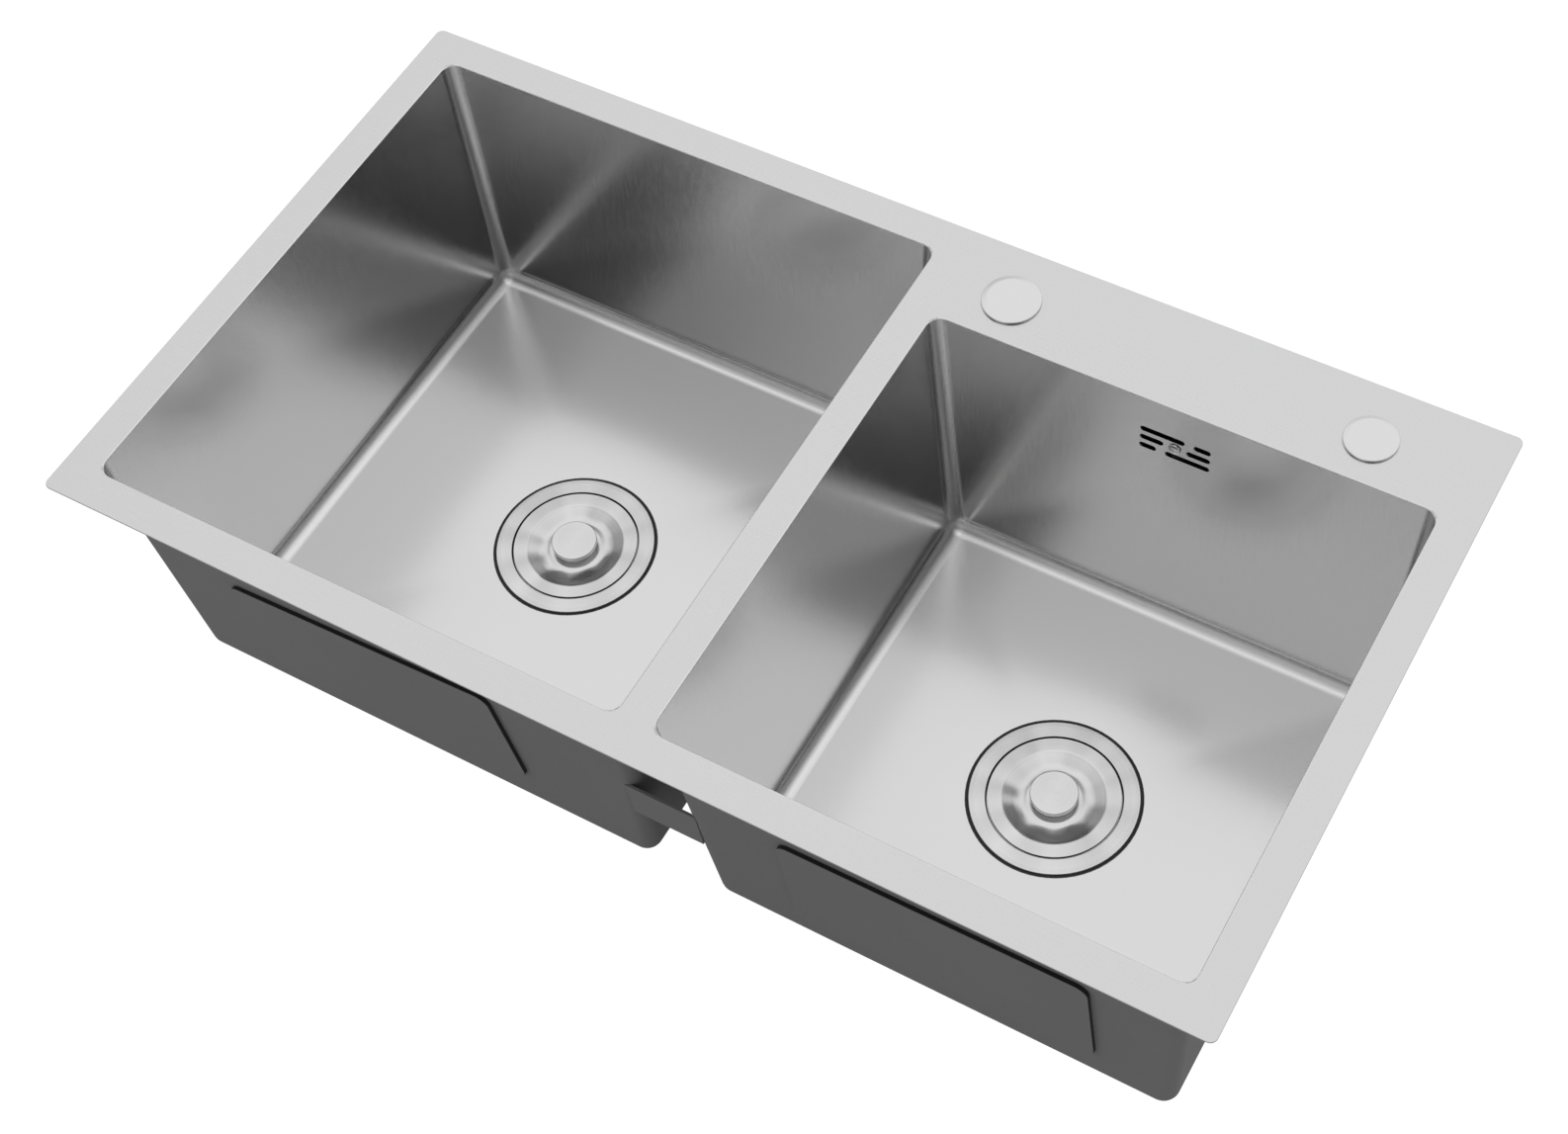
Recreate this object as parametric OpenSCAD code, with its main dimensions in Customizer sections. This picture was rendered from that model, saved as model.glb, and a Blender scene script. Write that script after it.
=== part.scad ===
// Double bowl kitchen sink, drop-in type, with two basket strainers, an overflow and two hole covers.
// X runs to the right, Y to the tap ledge at the back, Z up.
// The origin is the middle of the rim in plan, on its underside, where the worktop's face lies.

/* [Rim] */
// Width of the rim, left to right
rim_w = 820; // [760:1:900]
// Depth of the rim, front to back
rim_d = 450; // [420:1:520]
// Thickness of the rim's sheet
rim_t = 1.2; // [0.8:0.1:3]
// Radius of the rim's outer corners
rim_corner_r = 5; // [3:1:20]
// Width of the rim round the bowls
rim_margin = 25; // [20:1:30]
// Width of the rim between the two bowls
divider_w = 25; // [20:1:40]
// Depth of the tap ledge behind the right bowl
tap_ledge_d = 75; // [65:1:90]

/* [Bowls] */
// Width of the right bowl at its mouth; the left bowl takes what is left of the rim
right_bowl_w = 350; // [320:1:380]
// Depth of both bowls from the rim's underside to the foot of the walls
bowl_depth = 213; // [160:1:240]
// Thickness of the bowls' sheet
wall_t = 1; // [0.8:0.1:1.5]
// Angle by which the walls lean in, in degrees
wall_draft = 3.5; // [1:0.1:5]
// Radius of the upright corners and of the bend at the floor
bowl_corner_r = 10; // [6:1:20]
// Fall of the floor from the walls to the drain
floor_fall = 4; // [2:0.5:8]

/* [Drain seats] */
// Radius of the hole in the floor
drain_hole_r = 48.5; // [48:0.5:52]
// Radius of the pressed seat round the hole
seat_r = 59.5; // [59:0.5:64]
// Depth of the pressed seat
seat_drop = 2.5; // [2:0.1:4]

/* [Strainer] */
// Radius of the strainer's flange
flange_r = 57.2; // [55:0.1:58]
// Thickness of the flange's sheet
flange_t = 1.5; // [1:0.1:2]
// Radius of the recess that takes the lid
lid_recess_r = 46; // [45.5:0.1:46.5]
// Depth of the lid's recess below the flange
ledge_drop = 3.5; // [3:0.1:5]
// Inner radius of the strainer's cup
cup_in_r = 41.6; // [40:0.1:42]
// Thickness of the cup's wall
cup_t = 1.2; // [0.8:0.1:1.5]
// Height of the cup from its ledge to its outlet
cup_h = 48; // [44:1:60]
// Fall of the cup's bottom to the outlet
cup_fall = 6; // [4:0.5:8]
// Outer radius of the threaded tail, a 1 1/2 inch pipe thread
tail_r = 23.9; // [23:0.1:25]
// Thickness of the tail's wall
tail_t = 4; // [3:0.1:5]
// Length of the threaded tail
tail_h = 25; // [20:1:40]

/* [Strainer seals and nut] */
// Thickness of the black gasket under the flange
gasket_t = 1.5; // [1:0.1:2]
// Thickness of the rubber washer under the floor
washer_t = 3; // [2:0.1:5]
// Outer radius of the washer and of the slip ring
washer_r = 56; // [54:0.5:58]
// Thickness of the slip ring between washer and nut
slip_ring_t = 1; // [0.6:0.1:2]
// Height of the lock nut
nut_h = 12; // [8:1:16]
// Outer radius of the lock nut's ring
nut_r = 50; // [48:0.5:54]
// How far the nut's lugs stand out
nut_lug = 5; // [3:0.5:8]
// Number of lugs on the nut
nut_lugs = 6; // [4:1:8]

/* [Basket] */
// Height of the basket below its rim
basket_h = 34; // [28:1:36]
// Thickness of the basket's sheet
basket_t = 0.8; // [0.6:0.1:1.2]
// Gap between the basket and the cup at the top
basket_gap = 1; // [0.6:0.1:2]
// How much narrower the basket is at its bottom
basket_taper = 4; // [2:0.5:6]
// Number of slots in the basket's side
basket_slots = 18; // [8:1:24]
// Width of a side slot
basket_slot_w = 3; // [2:0.5:5]
// Height of a side slot
basket_slot_h = 20; // [10:1:22]
// Radius of the round holes in the bottom
basket_hole_r = 2; // [1:0.5:2.5]
// Radius of the lifting post
post_r = 3.5; // [2.5:0.5:5]
// Height of the lifting post
post_h = 16; // [10:1:20]
// Radius of the rubber stopper under the basket
stopper_r = 24; // [22:0.5:28]
// Thickness of the stopper
stopper_t = 4; // [3:0.5:6]
// Radius of the stopper's stem
stem_r = 5; // [4:0.5:8]

/* [Lid] */
// Radius of the lid
lid_r = 45.5; // [44.5:0.1:45.8]
// Thickness of the lid's sheet
lid_t = 0.9; // [0.6:0.1:1.2]
// Outer radius of the dished channel
dish_r = 35.3; // [33:0.1:37]
// Depth of the dished channel
dish_h = 4; // [3:0.5:7]
// Radius of the raised hub inside the channel
hub_r = 19.5; // [18:0.5:21]
// How far the hub lies below the lid's face
hub_drop = 1.4; // [0.8:0.1:2.5]
// Radius of the knob
knob_r = 16.4; // [14:0.1:18]
// Thickness of the knob
knob_t = 4; // [3:0.1:5]
// How far the knob's face stands over the lid
knob_rise = 6; // [5:0.1:10]
// Radius of the knob's neck
neck_r = 7; // [5:0.5:9]
// Radius of the rounding at the knob's edge
knob_edge_r = 0.8; // [0.4:0.1:1.5]

/* [Overflow] */
// Depth of the overflow's middle below the rim's underside
overflow_z = 36.5; // [32:0.5:60]
// Width over all the overflow's slots
overflow_w = 48; // [44:1:56]
// Height of one slot
slot_h = 3.6; // [2:0.1:4]
// Distance between the rows of slots
slot_pitch = 8; // [7:0.5:10]
// Length of the long slots
long_slot = 30; // [28:1:32]
// Length of the middle slots
middle_slot = 16; // [12:1:18]
// Length of the short slots
short_slot = 11.5; // [8:0.5:14]
// Radius of the overflow screw's head
screw_head_r = 4.2; // [3.5:0.1:4.5]
// Radius of the overflow screw's shank
screw_r = 2; // [1.5:0.1:2.5]
// Depth of the overflow's housing behind the wall
housing_d = 20; // [16:1:30]
// Thickness of the housing's walls
housing_t = 2; // [1.5:0.1:3]
// Radius of the housing's hose spigot
spigot_r = 10; // [8:0.5:12]
// Length of the hose spigot
spigot_h = 25; // [18:1:40]
// Thickness of the foam seal behind the wall
foam_t = 2; // [1:0.1:3]

/* [Hole covers] */
// Radius of the tap hole
tap_hole_r = 17.5; // [16:0.5:18]
// Radius of the tap hole's cover
tap_cover_r = 20; // [19:0.1:24]
// Radius of the dispenser hole
dispenser_hole_r = 14; // [12:0.5:15]
// Radius of the dispenser hole's cover
dispenser_cover_r = 17.7; // [16.5:0.1:20]
// Height of the covers' domed discs
cover_h = 3; // [2:0.1:4]
// Distance of the holes from the rim's back edge
hole_back = 42; // [36:1:50]
// Distance of the tap hole from the right bowl's left side
tap_hole_in = 40; // [30:1:60]
// Distance of the dispenser hole from the rim's right edge
dispenser_hole_in = 84; // [60:1:110]
// Length of the covers' plugs below the rim's face
plug_h = 14; // [10:1:20]

/* [Outside of the bowls] */
// Width of the sound pads on the front walls
pad_w = 210; // [160:1:240]
// Height of the sound pads on the front walls
pad_h = 105; // [80:1:120]
// Thickness of the sound pads
pad_t = 3; // [2:0.5:5]
// How far the left front pad lies to the right of its bowl's middle
left_pad_shift = -12; // [-30:1:30]
// How far the right front pad lies to the right of its bowl's middle
right_pad_shift = 7; // [-30:1:30]
// Depth of the front pads' top edge below the rim's underside
pad_top = 74; // [50:1:80]
// Tilt of the left front pad, stuck on by hand, in degrees
left_pad_tilt = 4; // [0:0.5:6]
// Tilt of the right front pad, in degrees
right_pad_tilt = 1; // [0:0.5:6]
// Width of the sound pads under the floors
base_pad_w = 260; // [200:1:300]
// Depth of the sound pads under the floors
base_pad_d = 240; // [200:1:260]
// Height of the brace between the bowls
brace_h = 38; // [20:1:50]
// Depth of the brace's top edge below the rim's underside
brace_top = 104; // [80:1:130]
// Thickness of the brace
brace_t = 2; // [1.5:0.1:3]
// How far the brace laps over each bowl's corner
brace_lap = 7; // [4:0.5:9]

/* [Hidden] */
$fn = 96;

// How far a cutting form runs past what it cuts
over = 1;
// Facets of the round forms inside a hull
hull_fn = 32;

// Slope of the walls, and the bowls' places and sizes at their mouths
taper = tan(wall_draft);
left_bowl_w = rim_w - 2 * rim_margin - divider_w - right_bowl_w;
left_bowl_d = rim_d - 2 * rim_margin;
right_bowl_d = rim_d - rim_margin - tap_ledge_d;
left_mid = [-rim_w / 2 + rim_margin + left_bowl_w / 2, 0];
right_mid = [rim_w / 2 - rim_margin - right_bowl_w / 2, -rim_d / 2 + rim_margin + right_bowl_d / 2];
left_size = [left_bowl_w, left_bowl_d];
right_size = [right_bowl_w, right_bowl_d];

// Heights of the floor, the drain seat and the strainer
fall_z = -bowl_depth - floor_fall;
slope_t = floor_fall / 8;
seat_z = fall_z - seat_drop;
gasket_top = seat_z + gasket_t;
flange_top = gasket_top + flange_t;
ledge_z = flange_top - ledge_drop;
cup_bottom = ledge_z - cup_h;
tail_bottom = cup_bottom - tail_h;
floor_under = seat_z - wall_t;
washer_bottom = floor_under - washer_t;
slip_bottom = washer_bottom - slip_ring_t;

// Strainer: radii worked out from the sizes above
cup_r = cup_in_r + cup_t;
tail_in_r = tail_r - tail_t;
recess_r = lid_recess_r + cup_t;
flange_edge = flange_t / 3;
gasket_r = seat_r - gasket_t / 5;
ring_clear = (drain_hole_r - recess_r) / 2;
nut_clear = cup_t / 4;
lug_w = nut_h * 2 / 3;

// Basket
basket_rim_r = lid_recess_r - basket_gap;
basket_top_r = cup_in_r - basket_gap;
basket_low_r = basket_top_r - basket_taper;
basket_bottom = ledge_z - basket_h;
basket_rim_top = ledge_z + basket_t;
ring_share = [0.34, 0.58, 0.82];
ring_holes = [8, 14, 20];
stopper_clear = basket_t / 2;
stopper_seat = cup_bottom + cup_fall * (stopper_r - tail_in_r) / (cup_in_r - tail_in_r) + stopper_clear;

// Lid: the lowest line of the channel, and the steps in which its curves are drawn
lid_edge = lid_t / 2;
channel_r = hub_r + 0.27 * (dish_r - hub_r);
curve_steps = 8;
lid_z = flange_top;
knob_under = knob_rise - knob_t;
knob_screw_r = neck_r / 3;
knob_screw_head_r = neck_r * 2 / 3;
knob_screw_head_t = lid_t * 2;
knob_screw_clear = lid_t / 9;
knob_screw_end = neck_r / 3;

// Overflow: the housing and the seal behind the wall
housing_rim = slot_pitch;
housing_w = overflow_w + 2 * housing_rim;
housing_h = 2 * slot_pitch + slot_h + 2 * housing_rim;
housing_corner_r = housing_rim;
screw_clear = screw_r / 10;
screw_seat = wall_t / 10;
screw_head_t = screw_r * 0.8;
boss_r = screw_r * 2.2;
cross_w = screw_head_r / 4;
cross_l = screw_head_r * 1.1;
cross_d = screw_head_t / 2;

// Holes in the tap ledge and what fills them
hole_y = rim_d / 2 - hole_back;
tap_hole_x = right_mid[0] - right_bowl_w / 2 + tap_hole_in;
dispenser_hole_x = rim_w / 2 - dispenser_hole_in;
plug_clear = 0.3 * rim_t / 1.2;
plug_wall = 2 * rim_t;
cover_face_share = 0.73;
cover_edge_share = 0.3;
plug_gap = 2 * plug_wall;

pad_corner_r = 3 * pad_t;
base_pad_corner_r = 5 * pad_t;
nut_room = 2 * pad_t;

steel = [0.80, 0.80, 0.79];
bright = [0.86, 0.86, 0.85];
coat = [0.38, 0.38, 0.38];
black = [0.07, 0.07, 0.07];
grey = [0.55, 0.55, 0.54];

// A rectangle with round corners, centred
module round_rect(size, r) {
    square([size[0] - 2 * r, size[1]], center = true);
    square([size[0], size[1] - 2 * r], center = true);
    for (x = [-1, 1], y = [-1, 1])
        translate([x * (size[0] / 2 - r), y * (size[1] / 2 - r)]) circle(r);
}

// A slot with round ends, lying along X and centred
module slot(length, height) {
    square([length - height, height], center = true);
    for (x = [-1, 1]) translate([x * (length - height) / 2, 0]) circle(d = height);
}

module ring(outer, inner, height) {
    difference() {
        cylinder(r = outer, h = height);
        translate([0, 0, -over]) cylinder(r = inner, h = height + 2 * over);
    }
}

// The four places where the centre of a corner's ball lies at height z
module at_corners(size, z) {
    inset = bowl_corner_r / cos(wall_draft) - taper * z;
    for (x = [-1, 1], y = [-1, 1])
        translate([x * (size[0] / 2 - inset), y * (size[1] / 2 - inset), z]) children();
}

// The floor's four flat slopes, which fall from the foot of the walls to the drain seat
module floor_slopes(size, grow) {
    foot = taper * bowl_depth + bowl_corner_r;
    hull() {
        translate([0, 0, -bowl_depth - grow]) linear_extrude(slope_t)
            square([size[0] - 2 * foot, size[1] - 2 * foot], center = true);
        translate([0, 0, fall_z - grow]) cylinder(r = seat_r + seat_drop, h = slope_t);
    }
}

// The space inside a bowl, or with grow the bowl's outer form, before the mouth is cut level
module bowl_space(size, grow) {
    r = bowl_corner_r + grow;
    hull() {
        at_corners(size, -bowl_depth + bowl_corner_r) sphere(r, $fn = hull_fn);
        at_corners(size, bowl_corner_r) sphere(r, $fn = hull_fn);
    }
    floor_slopes(size, grow);
    translate([0, 0, seat_z - grow]) cylinder(r = seat_r + grow, h = seat_drop + floor_fall / 2);
}

// A bowl's shell: its wall stands up through the rim's sheet and ends flush with its face
module bowl_shell(size) {
    difference() {
        bowl_space(size, wall_t);
        bowl_space(size, 0);
        translate([0, 0, rim_t + 2 * bowl_corner_r])
            cube([2 * size[0], 2 * size[1], 4 * bowl_corner_r], center = true);
        translate([0, 0, seat_z - bowl_corner_r]) cylinder(r = drain_hole_r, h = 2 * bowl_corner_r);
    }
}

// The upright corner of a bowl's outer form, on the side given by x, at the front
module front_corner(size, x) {
    foot_z = -bowl_depth + bowl_corner_r;
    inset = bowl_corner_r / cos(wall_draft) - taper * foot_z;
    translate([x * (size[0] / 2 - inset), -size[1] / 2 + inset, foot_z])
        rotate([0, acos(1 / norm([taper, taper, 1])), atan2(-taper, x * taper)])
            cylinder(r = bowl_corner_r + wall_t, h = bowl_depth);
}

// Puts its children on the front wall's outer face, at a depth below the rim, with +Z out of the wall
module on_front_wall(size, depth) {
    translate([0, -size[1] / 2 - wall_t / cos(wall_draft) + taper * depth, -depth])
        rotate([90 + wall_draft, 0, 0]) children();
}

// Puts its children on the inside of the right bowl's back wall, at the overflow, with +Z out of the bowl
module on_overflow() {
    translate([right_mid[0], right_mid[1] + right_size[1] / 2 - taper * overflow_z, -overflow_z])
        rotate([-90 - wall_draft, 0, 0]) children();
}

// Three rows of slots that read the same when turned half round
module overflow_slots() {
    end = overflow_w / 2;
    for (turn = [0, 180]) rotate(turn) {
        translate([-end + long_slot / 2, -slot_pitch]) slot(long_slot, slot_h);
        translate([-end + middle_slot / 2, 0]) slot(middle_slot, slot_h);
        translate([-end + short_slot / 2, slot_pitch]) slot(short_slot, slot_h);
    }
}

// The opening in the rim that a bowl's wall stands in
module mouth(size) {
    grow = wall_t / cos(wall_draft) + taper * rim_t;
    round_rect([size[0] + 2 * grow, size[1] + 2 * grow], bowl_corner_r + wall_t);
}

module deck_plate() {
    color(steel) linear_extrude(rim_t) difference() {
        round_rect([rim_w, rim_d], rim_corner_r);
        translate(left_mid) mouth(left_size);
        translate(right_mid) mouth(right_size);
        translate([tap_hole_x, hole_y]) circle(tap_hole_r);
        translate([dispenser_hole_x, hole_y]) circle(dispenser_hole_r);
    }
}

module left_bowl() {
    color(steel) translate(left_mid) bowl_shell(left_size);
}

module right_bowl() {
    color(steel) difference() {
        translate(right_mid) bowl_shell(right_size);
        on_overflow() translate([0, 0, -over]) linear_extrude(wall_t + 2 * over) {
            overflow_slots();
            circle(screw_r + screw_clear);
        }
    }
}

// A flat strip across the gap between the bowls, let into their rounded front corners
module front_brace() {
    mid = (left_mid[0] + left_bowl_w / 2 + right_mid[0] - right_bowl_w / 2) / 2;
    half = divider_w / 2 + taper * brace_top + brace_lap;
    color(coat) difference() {
        translate([mid, 0, 0]) on_front_wall(left_size, brace_top)
            translate([-half, -brace_h, -brace_t]) cube([2 * half, brace_h, brace_t]);
        translate(left_mid) front_corner(left_size, 1);
        translate(right_mid) front_corner([right_bowl_w, 2 * right_mid[1] + left_bowl_d], -1);
    }
}

module front_pad(mid, size, shift, tilt) {
    color(coat) translate(mid) on_front_wall(size, pad_top) translate([shift, -pad_h / 2, 0]) rotate(tilt)
        linear_extrude(pad_t) round_rect([pad_w, pad_h], pad_corner_r);
}

// A sheet that follows the floor's underside, with room for the drain's nut
module base_pad(mid, size) {
    color(coat) translate(mid) difference() {
        intersection() {
            translate([0, 0, -pad_t]) floor_slopes(size, wall_t);
            translate([0, 0, fall_z - 2 * pad_t])
                linear_extrude(floor_fall + 2 * pad_t)
                    round_rect([base_pad_w, base_pad_d], base_pad_corner_r);
        }
        floor_slopes(size, wall_t);
        translate([0, 0, seat_z - bowl_corner_r]) cylinder(r = seat_r + nut_room, h = 2 * bowl_corner_r);
    }
}

module left_front_pad() { front_pad(left_mid, left_size, left_pad_shift, left_pad_tilt); }
module right_front_pad() { front_pad(right_mid, right_size, right_pad_shift, right_pad_tilt); }
module left_base_pad() { base_pad(left_mid, left_size); }
module right_base_pad() { base_pad(right_mid, right_size); }

// Flange, stepped recess, cup and threaded tail, turned from one sheet and one tube
module strainer_body() {
    color(bright) rotate_extrude() polygon([
        [flange_r, gasket_top], [flange_r, flange_top - flange_edge], [flange_r - flange_edge, flange_top],
        [lid_recess_r, flange_top], [lid_recess_r, ledge_z], [cup_in_r, ledge_z],
        [cup_in_r, cup_bottom + cup_fall], [tail_in_r, cup_bottom], [tail_in_r, tail_bottom],
        [tail_r, tail_bottom], [tail_r, cup_bottom - cup_t], [cup_r, cup_bottom + cup_fall - cup_t],
        [cup_r, ledge_z - cup_t], [recess_r, ledge_z - cup_t], [recess_r, gasket_top]]);
}

module flange_gasket() {
    color(black) translate([0, 0, seat_z]) ring(gasket_r, drain_hole_r, gasket_t);
}

module floor_washer() {
    color(black) translate([0, 0, washer_bottom]) ring(washer_r, recess_r + ring_clear, washer_t);
}

module slip_ring() {
    color(grey) translate([0, 0, slip_bottom]) ring(washer_r, cup_r + nut_clear, slip_ring_t);
}

module lock_nut() {
    color(grey) translate([0, 0, slip_bottom - nut_h]) difference() {
        union() {
            cylinder(r = nut_r, h = nut_h);
            for (i = [0 : nut_lugs - 1]) rotate(i * 360 / nut_lugs)
                translate([0, -lug_w / 2, 0]) cube([nut_r + nut_lug, lug_w, nut_h]);
        }
        translate([0, 0, -over]) cylinder(r = cup_r + nut_clear, h = nut_h + 2 * over);
    }
}

// Perforated cup with a turned-out rim and a post to lift it by
module basket() {
    color(bright) {
        difference() {
            rotate_extrude() polygon([
                [basket_rim_r, ledge_z], [basket_rim_r, basket_rim_top],
                [basket_top_r - basket_t, basket_rim_top],
                [basket_low_r - basket_t, basket_bottom + basket_t], [0, basket_bottom + basket_t],
                [0, basket_bottom], [basket_low_r, basket_bottom], [basket_top_r, ledge_z]]);
            for (i = [0 : basket_slots - 1]) rotate(i * 360 / basket_slots)
                translate([basket_low_r - 2 * basket_t, 0, basket_bottom + basket_h / 2])
                    rotate([90, 0, 90]) linear_extrude(basket_taper + 4 * basket_t)
                        rotate(90) slot(basket_slot_h, basket_slot_w);
            for (ring = [0 : len(ring_share) - 1], i = [0 : ring_holes[ring] - 1])
                rotate((i + ring / 2) * 360 / ring_holes[ring])
                    translate([ring_share[ring] * basket_low_r, 0, basket_bottom - over])
                        cylinder(r = basket_hole_r, h = basket_t + 2 * over);
        }
        translate([0, 0, basket_bottom]) cylinder(r = post_r, h = post_h);
        translate([0, 0, basket_bottom + post_h]) sphere(post_r * 1.3);
    }
}

module stopper() {
    color(black) {
        translate([0, 0, stopper_seat]) cylinder(r = stopper_r, h = stopper_t);
        translate([0, 0, stopper_seat]) cylinder(r = stem_r, h = basket_bottom - stopper_seat);
    }
}

// Points of an S-shaped curve from one point to another, level at both ends, without its first point
function s_curve(from, to) = [for (i = [1 : curve_steps]) let (share = i / curve_steps)
    [from[0] + (to[0] - from[0]) * share, from[1] + (to[1] - from[1]) * (1 - cos(180 * share)) / 2]];

// Pressed lid: flat ring, dished channel, raised hub and a short skirt
module lid() {
    skirt = lid_z - basket_rim_top;
    hub_edge = [hub_r - lid_t, -hub_drop];
    channel = [channel_r, -dish_h];
    pressed = concat([[0, -hub_drop], hub_edge], s_curve(hub_edge, channel), s_curve(channel, [dish_r, 0]));
    under = [for (p = pressed) [p[0], p[1] - lid_t]];
    face = [for (i = [len(pressed) - 1 : -1 : 0]) pressed[i]];
    edge = [[lid_r - lid_t, -lid_t], [lid_r - lid_t, -skirt], [lid_r, -skirt], [lid_r, -lid_edge],
        [lid_r - lid_edge, 0]];
    color(bright) translate([0, 0, lid_z]) difference() {
        rotate_extrude() polygon(concat(under, edge, face));
        translate([0, 0, -dish_h]) cylinder(r = knob_screw_r + knob_screw_clear, h = dish_h);
    }
}

module knob() {
    color(bright) translate([0, 0, lid_z]) difference() {
        rotate_extrude() {
            polygon([[0, -hub_drop], [neck_r, -hub_drop], [neck_r, knob_under], [knob_r, knob_under],
                [knob_r, knob_rise - knob_edge_r], [knob_r - knob_edge_r, knob_rise - knob_edge_r],
                [knob_r - knob_edge_r, knob_rise], [0, knob_rise]]);
            translate([knob_r - knob_edge_r, knob_rise - knob_edge_r]) circle(knob_edge_r);
        }
        translate([0, 0, -hub_drop - over])
            cylinder(r = knob_screw_r + knob_screw_clear, h = knob_under + hub_drop + over);
    }
}

module knob_screw() {
    head_z = -hub_drop - lid_t;
    color(bright) translate([0, 0, lid_z]) {
        translate([0, 0, head_z - knob_screw_head_t]) cylinder(r = knob_screw_head_r, h = knob_screw_head_t);
        translate([0, 0, head_z]) cylinder(r = knob_screw_r, h = knob_under - head_z - knob_screw_end);
    }
}

module left_strainer_body() { translate(left_mid) strainer_body(); }
module left_flange_gasket() { translate(left_mid) flange_gasket(); }
module left_floor_washer() { translate(left_mid) floor_washer(); }
module left_slip_ring() { translate(left_mid) slip_ring(); }
module left_lock_nut() { translate(left_mid) lock_nut(); }
module left_basket() { translate(left_mid) basket(); }
module left_stopper() { translate(left_mid) stopper(); }
module left_lid() { translate(left_mid) lid(); }
module left_knob() { translate(left_mid) knob(); }
module left_knob_screw() { translate(left_mid) knob_screw(); }

module right_strainer_body() { translate(right_mid) strainer_body(); }
module right_flange_gasket() { translate(right_mid) flange_gasket(); }
module right_floor_washer() { translate(right_mid) floor_washer(); }
module right_slip_ring() { translate(right_mid) slip_ring(); }
module right_lock_nut() { translate(right_mid) lock_nut(); }
module right_basket() { translate(right_mid) basket(); }
module right_stopper() { translate(right_mid) stopper(); }
module right_lid() { translate(right_mid) lid(); }
module right_knob() { translate(right_mid) knob(); }
module right_knob_screw() { translate(right_mid) knob_screw(); }

// Plastic box behind the slots, with a boss for the screw and a spigot for the hose below
module overflow_housing() {
    back = wall_t + foam_t + housing_d;
    spigot_y = housing_h / 2 - housing_t;
    color(black) {
        on_overflow() {
            difference() {
                translate([0, 0, wall_t + foam_t])
                    linear_extrude(housing_d) round_rect([housing_w, housing_h], housing_corner_r);
                translate([0, 0, wall_t + foam_t - over]) linear_extrude(housing_d - housing_t + over)
                    round_rect([housing_w - 2 * housing_t, housing_h - 2 * housing_t],
                        housing_corner_r - housing_t);
                translate([0, spigot_y, back - housing_d / 2]) rotate([-90, 0, 0])
                    cylinder(r = spigot_r - housing_t, h = 2 * housing_t);
            }
            difference() {
                translate([0, 0, wall_t + foam_t]) cylinder(r = boss_r, h = housing_d - housing_t);
                translate([0, 0, wall_t]) cylinder(r = screw_r + screw_clear, h = housing_d / 2);
            }
            translate([0, spigot_y, back - housing_d / 2]) rotate([-90, 0, 0])
                ring(spigot_r, spigot_r - housing_t, spigot_h + housing_t);
        }
    }
}

module overflow_seal() {
    color(black) on_overflow() translate([0, 0, wall_t]) linear_extrude(foam_t) difference() {
        round_rect([housing_w, housing_h], housing_corner_r);
        round_rect([housing_w - 4 * housing_t, housing_h - 4 * housing_t], housing_corner_r - 2 * housing_t);
    }
}

module overflow_screw() {
    color(bright) on_overflow() {
        difference() {
            translate([0, 0, -screw_seat - screw_head_t]) cylinder(r = screw_head_r, h = screw_head_t);
            for (turn = [0, 90]) rotate(turn) translate([0, 0, -screw_seat - screw_head_t])
                cube([cross_l, cross_w, 2 * cross_d], center = true);
        }
        translate([0, 0, -screw_seat]) cylinder(r = screw_r, h = wall_t + foam_t + housing_d / 3);
    }
}

// Domed disc with a bevelled edge that covers a hole in the tap ledge
module cover(r) {
    color(steel) translate([0, 0, rim_t]) rotate_extrude() polygon([
        [0, 0], [r, 0], [r, cover_edge_share * cover_h], [cover_face_share * r, cover_h - rim_t / 4],
        [cover_face_share * r / 2, cover_h], [0, cover_h]]);
}

// Split plastic collar that holds a cover in its hole
module plug(hole_r) {
    r = hole_r - plug_clear;
    color(black) translate([0, 0, rim_t - plug_h]) difference() {
        ring(r, r - plug_wall, plug_h);
        for (turn = [0, 90]) rotate(turn) translate([-2 * r, -plug_gap / 2, -over])
            cube([4 * r, plug_gap, plug_h - plug_wall + over]);
    }
}

module tap_hole_cover() { translate([tap_hole_x, hole_y]) cover(tap_cover_r); }
module tap_hole_plug() { translate([tap_hole_x, hole_y]) plug(tap_hole_r); }
module dispenser_hole_cover() { translate([dispenser_hole_x, hole_y]) cover(dispenser_cover_r); }
module dispenser_hole_plug() { translate([dispenser_hole_x, hole_y]) plug(dispenser_hole_r); }

deck_plate();
left_bowl();
right_bowl();
front_brace();
left_front_pad();
right_front_pad();
left_base_pad();
right_base_pad();
left_strainer_body();
left_flange_gasket();
left_floor_washer();
left_slip_ring();
left_lock_nut();
left_basket();
left_stopper();
left_lid();
left_knob();
left_knob_screw();
right_strainer_body();
right_flange_gasket();
right_floor_washer();
right_slip_ring();
right_lock_nut();
right_basket();
right_stopper();
right_lid();
right_knob();
right_knob_screw();
overflow_housing();
overflow_seal();
overflow_screw();
tap_hole_cover();
tap_hole_plug();
dispenser_hole_cover();
dispenser_hole_plug();
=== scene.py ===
# %% [markdown]
# # Double bowl kitchen sink
#
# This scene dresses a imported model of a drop-in sink. The model already holds every solid at
# its real size, so nothing is measured again here: places come from the solids' own boxes.
# Thin pressed steel is all about edges and reflections, and a plain solid has neither, so the
# rim, the bowls, the strainers and the covers are modelled again with their bends and rounded
# edges. The pieces that sit under the sink keep their solids and only get a finish.

# %% Load the model
from collections import Counter
from math import acos, cos, degrees, hypot, pi, radians, sin, tan

import bpy
from mathutils import Matrix, Vector


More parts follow.
